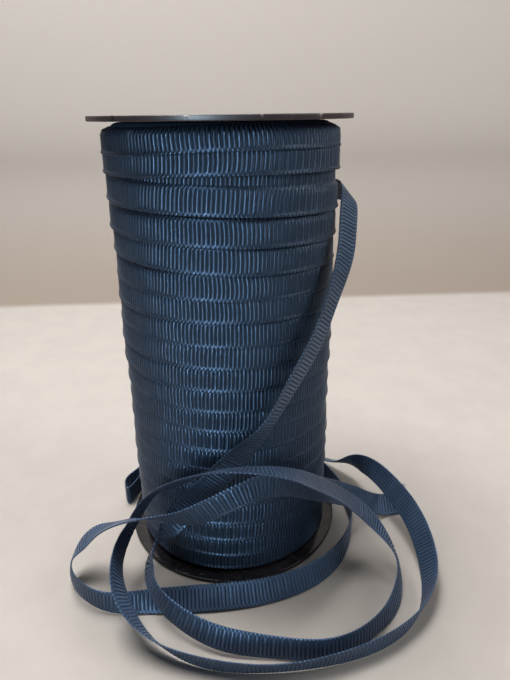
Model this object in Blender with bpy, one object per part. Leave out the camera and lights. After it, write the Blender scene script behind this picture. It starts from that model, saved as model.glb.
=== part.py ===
"""A spool of narrow grosgrain ribbon, standing on its flange, with a loose end looped round its foot.

Units are metres and +Z is up. The origin is the centre of the spool's underside, on the surface it
stands on. The camera side of the object is -Y, and +X is to its right.
"""

import math

import bmesh
import bpy
import numpy as np
from mathutils import Matrix

# The small clearance between pieces that touch.
GAP = 0.0003

# Spool: two thin round flanges, each with a short sleeve that lines the mouth of the bore.
SPOOL_HEIGHT = 0.1153
FLANGE_RADIUS = 0.0310
FLANGE_THICKNESS = 0.00115
RIM_ROUNDING = 0.00025
SLEEVE_LENGTH = 0.0120
SLEEVE_INNER_RADIUS = 0.0105
SLEEVE_WALL = 0.0015
SPOOL_SEGMENTS = 56

# The slit in the top flange's rim that catches the end of a ribbon.
SLIT_WIDTH = 0.0009
SLIT_DEPTH = 0.0030
SLIT_DIRECTION = math.radians(226.3)

# Wound ribbon: turns laid in rows one above another, each row's lower edge lapping the row below.
ROW_LAP = 0.0004
SHOULDER_RADIUS = 0.0262
WOUND_ROWS = (
    # height of the row's upper edge, mean radius of the row
    (0.0064, 0.0274),
    (0.0118, 0.0275),
    (0.0174, 0.0274),
    (0.0231, 0.0275),
    (0.0287, 0.0275),
    (0.0343, 0.0275),
    (0.0399, 0.0273),
    (0.0448, 0.0272),
    (0.0506, 0.0271),
    (0.0565, 0.0273),
    (0.0627, 0.0276),
    (0.0684, 0.0277),
    (0.0735, 0.0275),
    (0.0788, 0.0275),
    (0.0849, 0.0273),
    (0.0911, 0.0273),
    (0.0969, 0.0277),
    (0.1029, 0.0280),
    (0.1087, 0.0281),
    (0.1126, 0.0281),
)

# Loose ribbon: a flat strip swept along its middle line. The thickness is that of a thin sheet.
RIBBON_WIDTH = 0.0063
STRIP_THICKNESS = 0.0010
SECTIONS_PER_STEP = 4
RIBBON_ROUTE = (
    # x, y, z of the middle line, then the direction from the lower edge to the upper edge
    # It leaves the roll near the top and hangs down the front.
    (0.0239, 0.0169, 0.0968, 0.00, 0.00, 1.00),
    (0.0297, 0.0072, 0.0967, -0.44, -0.11, 0.89),
    (0.0309, -0.0030, 0.0965, -0.67, -0.23, 0.68),
    (0.0299, -0.0085, 0.0915, -0.76, -0.42, 0.47),
    (0.0287, -0.0130, 0.0854, -0.73, -0.45, 0.50),
    (0.0249, -0.0194, 0.0760, -0.54, -0.60, 0.60),
    (0.0202, -0.0244, 0.0663, -0.52, -0.62, 0.59),
    (0.0145, -0.0282, 0.0576, -0.48, -0.66, 0.57),
    (0.0082, -0.0312, 0.0483, -0.50, -0.71, 0.49),
    (0.0012, -0.0299, 0.0392, -0.74, -0.20, 0.60),
    (-0.0060, -0.0292, 0.0306, -0.76, 0.05, 0.60),
    (-0.0120, -0.0275, 0.0234, -0.80, 0.20, 0.58),
    (-0.0155, -0.0292, 0.0197, -0.74, 0.05, 0.58),
    (-0.0185, -0.0316, 0.0176, -0.35, -0.75, 0.50),
    # First loop: over the third loop, along the surface in front and up the right side.
    (-0.0215, -0.0349, 0.0118, 0.44, -0.55, 0.71),
    (-0.0196, -0.0410, 0.0097, 0.25, -0.14, 0.96),
    (-0.0142, -0.0458, 0.0071, 0.34, -0.05, 0.94),
    (-0.0051, -0.0503, 0.0049, 0.00, 0.25, 1.00),
    (0.0085, -0.0530, 0.0036, 0.00, 0.13, 1.00),
    (0.0220, -0.0539, 0.0034, -0.02, 0.12, 1.00),
    (0.0340, -0.0476, 0.0034, -0.12, 0.02, 1.00),
    (0.0404, -0.0400, 0.0035, -0.30, 0.03, 0.95),
    (0.0426, -0.0315, 0.0064, -0.34, -0.52, 0.78),
    # The high arch across the front of the roll.
    (0.0382, -0.0256, 0.0128, -0.36, -0.93, 0.09),
    (0.0282, -0.0265, 0.0236, 0.16, -0.94, -0.31),
    (0.0171, -0.0350, 0.0359, 0.40, -0.88, -0.24),
    (0.0109, -0.0380, 0.0403, 0.29, -0.95, 0.13),
    (0.0043, -0.0383, 0.0416, -0.12, -0.92, 0.36),
    (-0.0102, -0.0320, 0.0355, -0.68, -0.62, 0.38),
    (-0.0170, -0.0275, 0.0293, -0.77, -0.56, 0.31),
    (-0.0230, -0.0226, 0.0218, -0.63, -0.77, 0.11),
    # Second loop: down the left, along the surface in front, and round the right side.
    (-0.0279, -0.0230, 0.0135, -0.18, -0.58, 0.79),
    (-0.0297, -0.0326, 0.0120, -0.27, -0.11, 0.96),
    (-0.0273, -0.0423, 0.0093, -0.45, -0.53, 0.72),
    (-0.0211, -0.0491, 0.0055, -0.10, -0.63, 0.77),
    (-0.0109, -0.0544, 0.0035, -0.07, -0.32, 0.94),
    (0.0045, -0.0576, 0.0033, 0.00, -0.38, 0.93),
    (0.0200, -0.0568, 0.0034, -0.02, -0.30, 0.93),
    (0.0454, -0.0444, 0.0036, 0.35, 0.00, 0.90),
    (0.0510, -0.0322, 0.0048, 0.60, 0.00, 0.80),
    (0.0510, -0.0191, 0.0084, 0.60, 0.10, 0.75),
    (0.0480, -0.0062, 0.0098, 0.50, 0.20, 0.80),
    (0.0416, 0.0070, 0.0092, 0.20, -0.30, 0.80),
    # Round the back to the left side and back again in a narrow loop.
    (0.0347, 0.0145, 0.0050, -0.20, -0.85, 0.50),
    (0.0210, 0.0305, 0.0044, 0.00, -0.30, 0.90),
    (-0.0060, 0.0376, 0.0034, 0.00, 0.00, 1.00),
    (-0.0240, 0.0275, 0.0034, 0.00, 0.00, 1.00),
    (-0.0324, 0.0124, 0.0034, 0.00, 0.00, 1.00),
    (-0.0347, 0.0066, 0.0034, 0.00, 0.00, 1.00),
    (-0.0333, 0.0034, 0.0034, 0.00, 0.00, 1.00),
    (-0.0317, 0.0060, 0.0034, 0.00, 0.00, 1.00),
    (-0.0265, 0.0195, 0.0034, 0.00, 0.00, 1.00),
    (-0.0010, 0.0330, 0.0034, 0.00, 0.00, 1.00),
    (0.0255, 0.0205, 0.0035, 0.00, 0.00, 1.00),
    # Third loop: close round the foot of the spool to the left.
    (0.0329, 0.0045, 0.0040, 0.05, 0.00, 1.00),
    (0.0352, -0.0060, 0.0036, 0.05, 0.00, 1.00),
    (0.0252, -0.0288, 0.0034, -0.10, 0.35, 1.00),
    (0.0110, -0.0358, 0.0032, -0.10, 0.50, 0.90),
    (-0.0060, -0.0376, 0.0030, 0.00, 0.70, 0.75),
    (-0.0240, -0.0382, 0.0034, 0.05, 0.30, 1.00),
    (-0.0349, -0.0370, 0.0039, 0.10, -0.05, 1.00),
    (-0.0432, -0.0267, 0.0070, 0.28, -0.65, 0.70),
    (-0.0407, -0.0245, 0.0102, 0.17, -0.98, 0.10),
    # The low arch across the front, down to the free end on the right.
    (-0.0337, -0.0266, 0.0166, -0.55, -0.84, 0.02),
    (-0.0255, -0.0312, 0.0229, -0.47, -0.76, 0.45),
    (-0.0177, -0.0332, 0.0247, -0.39, -0.53, 0.76),
    (-0.0127, -0.0346, 0.0257, -0.32, -0.31, 0.90),
    (-0.0077, -0.0358, 0.0281, -0.29, -0.08, 0.95),
    (-0.0017, -0.0363, 0.0314, -0.32, 0.08, 0.94),
    (0.0042, -0.0354, 0.0335, -0.31, 0.15, 0.94),
    (0.0100, -0.0334, 0.0335, -0.22, 0.05, 0.97),
    (0.0165, -0.0296, 0.0301, -0.01, 0.10, 0.99),
    (0.0239, -0.0228, 0.0229, 0.03, 0.20, 0.98),
    (0.0365, -0.0110, 0.0099, 0.20, 0.60, 0.75),
    (0.0462, -0.0064, 0.0032, 0.10, 0.72, 0.70),
    (0.0540, -0.0048, 0.0026, 0.00, 0.75, 0.66),
)

SMOOTHING_ANGLE = math.radians(35.0)
MERGE_DISTANCE = 0.00001


def clear_scene():
    for obj in list(bpy.data.objects):
        bpy.data.objects.remove(obj, do_unlink=True)


def plain_material(name, colour, roughness):
    material = bpy.data.materials.new(name)
    material.use_nodes = True
    shader = material.node_tree.nodes["Principled BSDF"]
    shader.inputs["Base Color"].default_value = (*colour, 1.0)
    shader.inputs["Roughness"].default_value = roughness
    shader.inputs["Metallic"].default_value = 0.0
    return material


def add_object(name, bm, material):
    """Turns the bmesh into a named object with outward faces, smooth except at real edges."""
    bmesh.ops.recalc_face_normals(bm, faces=bm.faces)
    mesh = bpy.data.meshes.new(name)
    bm.to_mesh(mesh)
    bm.free()
    mesh.materials.append(material)
    mesh.shade_smooth()
    mesh.set_sharp_from_angle(angle=SMOOTHING_ANGLE)
    obj = bpy.data.objects.new(name, mesh)
    bpy.context.collection.objects.link(obj)
    return obj


def turned_solid(name, profile, material):
    """Spins a closed outline of (radius, height) points once round the Z axis."""
    bm = bmesh.new()
    verts = [bm.verts.new((radius, 0.0, height)) for radius, height in profile]
    edges = [bm.edges.new((verts[i - 1], verts[i])) for i in range(len(verts))]
    bmesh.ops.spin(
        bm,
        geom=verts + edges,
        cent=(0.0, 0.0, 0.0),
        axis=(0.0, 0.0, 1.0),
        angle=math.tau,
        steps=SPOOL_SEGMENTS,
        use_merge=True,
    )
    bmesh.ops.remove_doubles(bm, verts=bm.verts, dist=MERGE_DISTANCE)
    return add_object(name, bm, material)


def flange_outline():
    """Half section of the lower flange with its sleeve, from the outer face upwards."""
    rounded = FLANGE_RADIUS - RIM_ROUNDING
    sleeve_radius = SLEEVE_INNER_RADIUS + SLEEVE_WALL
    return (
        (SLEEVE_INNER_RADIUS, 0.0),
        (rounded, 0.0),
        (FLANGE_RADIUS, RIM_ROUNDING),
        (FLANGE_RADIUS, FLANGE_THICKNESS - RIM_ROUNDING),
        (rounded, FLANGE_THICKNESS),
        (sleeve_radius, FLANGE_THICKNESS),
        (sleeve_radius, SLEEVE_LENGTH),
        (SLEEVE_INNER_RADIUS, SLEEVE_LENGTH),
    )


def cut_catch_slit(flange):
    """Cuts the narrow radial slit through the flange's rim with a thin block."""
    bm = bmesh.new()
    bmesh.ops.create_cube(bm, size=1.0)
    size = (2.0 * SLIT_DEPTH, SLIT_WIDTH, 4.0 * FLANGE_THICKNESS)
    bmesh.ops.transform(bm, matrix=Matrix.Diagonal((*size, 1.0)), verts=bm.verts)
    mesh = bpy.data.meshes.new("catch_slit_cutter")
    bm.to_mesh(mesh)
    bm.free()
    cutter = bpy.data.objects.new("catch_slit_cutter", mesh)
    bpy.context.collection.objects.link(cutter)
    cutter.location = (
        FLANGE_RADIUS * math.cos(SLIT_DIRECTION),
        FLANGE_RADIUS * math.sin(SLIT_DIRECTION),
        SPOOL_HEIGHT - FLANGE_THICKNESS / 2.0,
    )
    cutter.rotation_euler = (0.0, 0.0, SLIT_DIRECTION)
    cutter.hide_render = True
    cutter.display_type = "WIRE"
    slit = flange.modifiers.new("catch slit", "BOOLEAN")
    slit.operation = "DIFFERENCE"
    slit.object = cutter


def make_spool_flanges(plastic):
    lower = flange_outline()
    upper = [(radius, SPOOL_HEIGHT - height) for radius, height in reversed(lower)]
    turned_solid("spool_bottom_flange", lower, plastic)
    cut_catch_slit(turned_solid("spool_top_flange", upper, plastic))


def make_wound_ribbon(cloth):
    """The roll as one ring-shaped solid whose outside steps in a little above each row's lower edge."""
    bore = SLEEVE_INNER_RADIUS + SLEEVE_WALL + GAP
    bottom = FLANGE_THICKNESS + GAP
    top = SPOOL_HEIGHT - FLANGE_THICKNESS - GAP
    outline = [(bore, bottom)]
    lower_edge = bottom
    for upper_edge, radius in WOUND_ROWS:
        outline.append((radius + ROW_LAP / 2.0, lower_edge))
        outline.append((radius - ROW_LAP / 2.0, upper_edge))
        lower_edge = upper_edge
    outline += [(SHOULDER_RADIUS, lower_edge), (SHOULDER_RADIUS, top), (bore, top)]
    return turned_solid("wound_ribbon", outline, cloth)


def smooth_through(stations, values, samples):
    """Natural cubic spline through the values at the stations, read at the samples."""
    steps = np.diff(stations)
    slopes = np.diff(values, axis=0) / steps[:, None]
    size = len(stations)
    system = np.eye(size)
    right = np.zeros((size, values.shape[1]))
    for i in range(1, size - 1):
        system[i, i - 1 : i + 2] = steps[i - 1], 2.0 * (steps[i - 1] + steps[i]), steps[i]
        right[i] = 6.0 * (slopes[i] - slopes[i - 1])
    bends = np.linalg.solve(system, right)
    k = np.clip(np.searchsorted(stations, samples, side="right") - 1, 0, size - 2)
    step = steps[k][:, None]
    after = (samples - stations[k])[:, None]
    before = step - after
    return (
        (bends[k] * before**3 + bends[k + 1] * after**3) / (6.0 * step)
        + (values[k] / step - bends[k] * step / 6.0) * before
        + (values[k + 1] / step - bends[k + 1] * step / 6.0) * after
    )


def unit(vectors):
    return vectors / np.linalg.norm(vectors, axis=1)[:, None]


def strip_frames(route):
    """Middle points, across directions and face normals of the strip, section by section."""
    route = np.array(route)
    points, across = route[:, :3], unit(route[:, 3:])
    spans = np.linalg.norm(np.diff(points, axis=0), axis=1)
    stations = np.concatenate(([0.0], np.cumsum(spans)))
    rows = np.arange((len(route) - 1) * SECTIONS_PER_STEP + 1) / SECTIONS_PER_STEP
    samples = np.interp(rows, np.arange(len(route)), stations)
    centres = smooth_through(stations, points, samples)
    across = smooth_through(stations, across, samples)
    along = unit(np.gradient(centres, samples, axis=0))
    across = unit(across - along * (along * across).sum(axis=1)[:, None])
    return centres, across, np.cross(along, across)


def make_loose_ribbon(cloth):
    centres, across, normal = strip_frames(RIBBON_ROUTE)
    half_width = across * RIBBON_WIDTH / 2.0
    half_thick = normal * STRIP_THICKNESS / 2.0
    bm = bmesh.new()
    rings = []
    for centre, side, face in zip(centres, half_width, half_thick):
        corners = (side + face, side - face, -side - face, -side + face)
        rings.append([bm.verts.new(centre + corner) for corner in corners])
    for ring, following in zip(rings, rings[1:]):
        for i in range(4):
            bm.faces.new((ring[i - 1], ring[i], following[i], following[i - 1]))
    bm.faces.new(rings[0])
    bm.faces.new(rings[-1])
    return add_object("loose_ribbon", bm, cloth)


def main():
    clear_scene()
    plastic = plain_material("spool plastic", (0.030, 0.027, 0.026), 0.45)
    roll_cloth = plain_material("wound grosgrain", (0.025, 0.045, 0.095), 0.75)
    strip_cloth = plain_material("loose grosgrain", (0.030, 0.055, 0.115), 0.75)
    make_spool_flanges(plastic)
    make_wound_ribbon(roll_cloth)
    make_loose_ribbon(strip_cloth)


main()
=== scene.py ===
"""Spool of narrow grosgrain ribbon: the finished look of every piece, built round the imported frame.

The file is laid out as a Blender add-on. Run as a script, it registers its operators, makes each piece
in turn and then sets the stage. Units are metres, +Z is up, and the front of the spool faces -Y.
"""

import math
import random

import bpy
import numpy as np
from mathutils import Matrix, Vector


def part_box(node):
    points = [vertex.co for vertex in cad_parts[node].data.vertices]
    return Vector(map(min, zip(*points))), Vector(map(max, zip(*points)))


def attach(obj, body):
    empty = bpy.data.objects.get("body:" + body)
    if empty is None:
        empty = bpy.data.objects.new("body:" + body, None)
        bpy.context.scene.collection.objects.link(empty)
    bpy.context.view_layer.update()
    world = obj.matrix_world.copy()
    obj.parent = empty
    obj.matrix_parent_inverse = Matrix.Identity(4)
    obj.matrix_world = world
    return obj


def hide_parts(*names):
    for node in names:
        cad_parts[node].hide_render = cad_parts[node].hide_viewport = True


bl_info = {
    "name": "Grosgrain Ribbon Spool",
    "version": (1, 0, 0),
    "blender": (4, 5, 0),
    "location": "3D View > Sidebar > Ribbon Spool",
    "description": "Makes a spool of ribbed ribbon with a loose end looped round its foot",
    "category": "Add Mesh",
}

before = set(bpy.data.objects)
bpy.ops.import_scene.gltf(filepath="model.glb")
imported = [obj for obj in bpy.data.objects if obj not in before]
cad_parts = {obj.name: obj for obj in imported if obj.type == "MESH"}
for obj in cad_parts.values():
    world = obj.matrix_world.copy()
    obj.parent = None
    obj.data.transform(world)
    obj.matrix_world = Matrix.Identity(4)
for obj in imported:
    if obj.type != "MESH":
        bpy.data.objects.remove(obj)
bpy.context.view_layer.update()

MM = 0.001

TOP_FLANGE_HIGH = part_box("spool_top_flange")[1]
ROLL_LOW, ROLL_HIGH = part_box("wound_ribbon")

# The turns that show on the roll, from the top down. The ribbon runs down to the right across the
# front, so each turn's lower edge has one height at the left, one in the middle and one at the right.
# Lean and bow say how far the ribs tilt and curve along the ribbon between its two edges. All in mm.
TURN_COLUMNS = ("left", "middle", "right", "radius", "lean", "bow")
TURNS = (
    (107.4, 108.5, 108.6, 27.90, -0.20, 0.25),
    (103.3, 104.0, 103.7, 27.85, 0.25, -0.30),
    (96.8, 95.9, 95.0, 27.75, 0.60, 0.05),
    (90.3, 89.4, 88.6, 27.55, 0.05, -0.20),
    (84.8, 83.4, 82.5, 27.30, 0.40, -0.10),
    (78.5, 77.6, 76.9, 27.25, 0.15, -0.30),
    (73.0, 72.5, 71.8, 27.40, 0.05, -0.20),
    (67.4, 66.7, 66.0, 27.40, 0.20, 0.10),
    (62.2, 61.3, 60.8, 27.55, 0.40, 0.10),
    (56.3, 55.6, 55.0, 27.45, 0.30, -0.05),
    (50.5, 49.9, 49.2, 27.25, 0.10, 0.10),
    (45.2, 44.5, 43.9, 27.15, 0.20, -0.15),
    (39.8, 39.1, 38.5, 27.20, 0.00, -0.20),
    (34.3, 33.6, 33.0, 27.35, 0.25, 0.05),
    (28.8, 28.1, 27.5, 27.40, 0.30, -0.10),
    (23.2, 22.5, 21.9, 27.40, 0.10, 0.15),
    (17.6, 16.9, 16.3, 27.35, 0.20, -0.15),
    (12.2, 11.5, 10.9, 27.30, 0.30, 0.00),
    (6.9, 6.3, 5.8, 27.35, 0.10, -0.20),
    (2.4, 2.0, 1.8, 27.30, 0.15, 0.00),
)

# The part of a turn between the front's middle and the side where the heights above are read.
SIDE_SHARE = 22.0 / 172.0

# The loose end's route, as x, y, z of the ribbon's middle line, then the direction from its lower to
# its upper edge. Metres.
LOOSE_ROUTE = (
    # It leaves the roll near the top and hangs down the front.
    (0.0239, 0.0169, 0.0968, 0.00, 0.00, 1.00),
    (0.0297, 0.0072, 0.0967, -0.44, -0.11, 0.89),
    (0.0309, -0.0030, 0.0965, -0.67, -0.23, 0.68),
    (0.0299, -0.0085, 0.0915, -0.76, -0.42, 0.47),
    (0.0287, -0.0130, 0.0854, -0.73, -0.45, 0.50),
    (0.0249, -0.0194, 0.0760, -0.54, -0.60, 0.60),
    (0.0202, -0.0244, 0.0663, -0.52, -0.62, 0.59),
    (0.0145, -0.0282, 0.0576, -0.48, -0.66, 0.57),
    (0.0082, -0.0312, 0.0483, -0.50, -0.71, 0.49),
    (0.0012, -0.0299, 0.0392, -0.74, -0.20, 0.60),
    (-0.0060, -0.0292, 0.0306, -0.76, 0.05, 0.60),
    (-0.0120, -0.0275, 0.0234, -0.80, 0.20, 0.58),
    (-0.0155, -0.0292, 0.0197, -0.74, 0.05, 0.58),
    (-0.0185, -0.0316, 0.0176, -0.35, -0.75, 0.50),
    # First loop: over the third loop, along the surface in front and up the right side.
    (-0.0215, -0.0349, 0.0118, 0.44, -0.55, 0.71),
    (-0.0196, -0.0410, 0.0097, 0.25, -0.14, 0.96),
    (-0.0142, -0.0458, 0.0071, 0.34, -0.05, 0.94),
    (-0.0051, -0.0503, 0.0049, 0.00, 0.25, 1.00),
    (0.0085, -0.0530, 0.0036, 0.00, 0.13, 1.00),
    (0.0220, -0.0539, 0.0034, -0.02, 0.12, 1.00),
    (0.0340, -0.0476, 0.0034, -0.12, 0.02, 1.00),
    (0.0404, -0.0400, 0.0035, -0.30, 0.03, 0.95),
    (0.0426, -0.0315, 0.0064, -0.34, -0.52, 0.78),
    # The high arch across the front of the roll.
    (0.0382, -0.0256, 0.0128, -0.36, -0.93, 0.09),
    (0.0282, -0.0265, 0.0236, 0.16, -0.94, -0.31),
    (0.0171, -0.0350, 0.0359, 0.40, -0.88, -0.24),
    (0.0109, -0.0380, 0.0403, 0.29, -0.95, 0.13),
    (0.0043, -0.0383, 0.0416, -0.12, -0.92, 0.36),
    (-0.0102, -0.0320, 0.0355, -0.68, -0.62, 0.38),
    (-0.0170, -0.0275, 0.0293, -0.77, -0.56, 0.31),
    (-0.0230, -0.0226, 0.0218, -0.63, -0.77, 0.11),
    # Second loop: down the left, along the surface in front, and round the right side.
    (-0.0279, -0.0230, 0.0135, -0.18, -0.58, 0.79),
    (-0.0297, -0.0326, 0.0120, -0.27, -0.11, 0.96),
    (-0.0273, -0.0423, 0.0093, -0.45, -0.53, 0.72),
    (-0.0211, -0.0491, 0.0055, -0.10, -0.63, 0.77),
    (-0.0109, -0.0544, 0.0035, -0.07, -0.32, 0.94),
    (0.0045, -0.0576, 0.0033, 0.00, -0.38, 0.93),
    (0.0200, -0.0568, 0.0034, -0.02, -0.30, 0.93),
    (0.0454, -0.0444, 0.0036, 0.35, 0.00, 0.90),
    (0.0510, -0.0322, 0.0048, 0.60, 0.00, 0.80),
    (0.0510, -0.0191, 0.0084, 0.60, 0.10, 0.75),
    (0.0480, -0.0062, 0.0098, 0.50, 0.20, 0.80),
    (0.0416, 0.0070, 0.0092, 0.20, -0.30, 0.80),
    # Round the back to the left side and back again in a narrow loop.
    (0.0347, 0.0145, 0.0050, -0.20, -0.85, 0.50),
    (0.0210, 0.0305, 0.0044, 0.00, -0.30, 0.90),
    (-0.0060, 0.0376, 0.0034, 0.00, 0.00, 1.00),
    (-0.0240, 0.0275, 0.0034, 0.00, 0.00, 1.00),
    (-0.0324, 0.0124, 0.0034, 0.00, 0.00, 1.00),
    (-0.0347, 0.0066, 0.0034, 0.00, 0.00, 1.00),
    (-0.0333, 0.0034, 0.0034, 0.00, 0.00, 1.00),
    (-0.0317, 0.0060, 0.0034, 0.00, 0.00, 1.00),
    (-0.0265, 0.0195, 0.0034, 0.00, 0.00, 1.00),
    (-0.0010, 0.0330, 0.0034, 0.00, 0.00, 1.00),
    (0.0255, 0.0205, 0.0035, 0.00, 0.00, 1.00),
    # Third loop: close round the foot of the spool to the left.
    (0.0329, 0.0045, 0.0040, 0.05, 0.00, 1.00),
    (0.0352, -0.0060, 0.0036, 0.05, 0.00, 1.00),
    (0.0252, -0.0288, 0.0034, -0.10, 0.35, 1.00),
    (0.0110, -0.0358, 0.0032, -0.10, 0.50, 0.90),
    (-0.0060, -0.0376, 0.0030, 0.00, 0.70, 0.75),
    (-0.0240, -0.0382, 0.0034, 0.05, 0.30, 1.00),
    (-0.0349, -0.0370, 0.0039, 0.10, -0.05, 1.00),
    (-0.0432, -0.0267, 0.0070, 0.28, -0.65, 0.70),
    (-0.0407, -0.0245, 0.0102, 0.17, -0.98, 0.10),
    # The low arch across the front, down to the free end on the right.
    (-0.0337, -0.0266, 0.0166, -0.55, -0.84, 0.02),
    (-0.0255, -0.0312, 0.0229, -0.47, -0.76, 0.45),
    (-0.0177, -0.0332, 0.0247, -0.39, -0.53, 0.76),
    (-0.0127, -0.0346, 0.0257, -0.32, -0.31, 0.90),
    (-0.0077, -0.0358, 0.0281, -0.29, -0.08, 0.95),
    (-0.0017, -0.0363, 0.0314, -0.32, 0.08, 0.94),
    (0.0042, -0.0354, 0.0335, -0.31, 0.15, 0.94),
    (0.0100, -0.0334, 0.0335, -0.22, 0.05, 0.97),
    (0.0165, -0.0296, 0.0301, -0.01, 0.10, 0.99),
    (0.0239, -0.0228, 0.0229, 0.03, 0.20, 0.98),
    (0.0365, -0.0110, 0.0099, 0.20, 0.60, 0.75),
    (0.0462, -0.0064, 0.0032, 0.10, 0.72, 0.70),
    (0.0540, -0.0048, 0.0026, 0.00, 0.75, 0.66),
)


# ------------------------------
# Settings a user would change
# ------------------------------


def size(name, description, default):
    return bpy.props.FloatProperty(name=name, description=description, default=default, unit="LENGTH")


def tint(name, description, default):
    return bpy.props.FloatVectorProperty(
        name=name, description=description, default=default, size=3, subtype="COLOR"
    )


class RibbonSizes(bpy.types.PropertyGroup):
    """Sizes of the ribbon itself."""

    width: size("Width", "From selvedge to selvedge", 0.0063)
    rib_pitch: size("Rib pitch", "From one cross rib to the next", 0.00096)
    rib_height: size("Rib height", "How far a rib stands over the groove beside it", 0.00029)
    groove_thickness: size("Cloth at grooves", "Thickness of the cloth between two ribs", 0.00018)
    scallop: size("Selvedge scallop", "How far each rib's end stands out of the selvedge", 0.00014)
    fray_length: size("Fray length", "Length of the loose threads at the cut end", 0.0022)


class SpoolSizes(bpy.types.PropertyGroup):
    """Sizes of the moulded spool."""

    rim_rounding: size("Rim rounding", "Radius on the flange's outer edges", 0.00022)
    step_depth: size("Face step", "Depth of the shallow step moulded in the flange's outer face", 0.00015)
    slit_width: size("Catch slit", "Width of the slit that catches the ribbon's end", 0.0009)


class FinishColours(bpy.types.PropertyGroup):
    """Colours of the ribbon, the spool and the stage, in linear light."""

    rib: tint("Ribs", "The ribbon's colour on its ribs", (0.0250, 0.0420, 0.0760))
    # Painted shade: the grooves' colour is far darker than the ribs' for the shade that falls between the
    # ribs.
    shaded_groove: tint("Grooves", "The ribbon's colour between the ribs", (0.0016, 0.0026, 0.0060))
    plastic: tint("Spool", "Colour of the moulded spool", (0.0090, 0.0085, 0.0105))
    table: tint("Floor", "Colour of the pale floor", (0.345, 0.319, 0.297))
    backdrop: tint("Backdrop", "Colour of the backdrop behind the floor", (0.47, 0.440, 0.415))


class RibbonSpoolSettings(bpy.types.PropertyGroup):
    """All the settings of the spool of ribbon."""

    ribbon: bpy.props.PointerProperty(type=RibbonSizes)
    spool: bpy.props.PointerProperty(type=SpoolSizes)
    colours: bpy.props.PointerProperty(type=FinishColours)


# ------------------------------
# Materials
# ------------------------------


class Nodes:
    """A material's node tree, with short calls to add nodes and join them."""

    def __init__(self, name):
        self.material = bpy.data.materials.new(name)
        self.material.use_nodes = True
        self.tree = self.material.node_tree
        self.shader = self.tree.nodes["Principled BSDF"]

    def add(self, kind, inputs=(), **settings):
        node = self.tree.nodes.new(kind)
        for name, value in settings.items():
            setattr(node, name, value)
        for key, value in dict(inputs).items():
            if isinstance(value, bpy.types.NodeSocket):
                self.tree.links.new(value, node.inputs[key])
            else:
                node.inputs[key].default_value = value
        return node

    def math(self, operation, first, second=0.0):
        return self.add("ShaderNodeMath", {0: first, 1: second}, operation=operation).outputs[0]

    def mix(self, share, first, second):
        """first where share is 0, second where it is 1. Both are colours."""
        return self.add("ShaderNodeMix", {0: share, 6: first, 7: second}, data_type="RGBA").outputs[2]

    def noise(self, vector, scale, detail=2.0, roughness=0.5):
        inputs = {"Vector": vector, "Scale": scale, "Detail": detail, "Roughness": roughness}
        return self.add("ShaderNodeTexNoise", inputs).outputs[0]

    def attribute(self, name):
        return self.add("ShaderNodeAttribute", attribute_name=name).outputs["Fac"]

    def between(self, value, low, high):
        """0 below low, 1 above high and smooth between."""
        inputs = {0: value, 1: low, 2: high}
        return self.add("ShaderNodeMapRange", inputs, interpolation_type="SMOOTHSTEP").outputs[0]

    def bump(self, height, strength, distance):
        inputs = {"Height": height, "Strength": strength, "Distance": distance}
        return self.add("ShaderNodeBump", inputs).outputs[0]

    def finish(self, links, **values):
        """Joins the links to the shader, sets its plain values and gives the material."""
        for name, socket in links.items():
            self.tree.links.new(socket, self.shader.inputs[name])
        for name, value in values.items():
            self.shader.inputs[name.replace("_", " ")].default_value = value
        return self.material


def opaque(colour, scale=(1.0, 1.0, 1.0)):
    """The colour as a node's socket takes it, each part scaled."""
    return (*(part * share for part, share in zip(colour, scale)), 1.0)


# Warp threads across the ribbon's width.
WARP_THREADS = 42.0
# How much paler the cloth is painted where it hangs free: painted light on the loose end, which lies open to
# the light from above.
LOOSE_PAINTED_LIGHT = 2.0
# Share of the ribs' colour in the cloth's darker patches.
DEEP_SHARE = 0.70
# Dust and fluff that catch on the ribs.
DUSTY_RIB = (0.065, 0.105, 0.170, 1.0)


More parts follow.
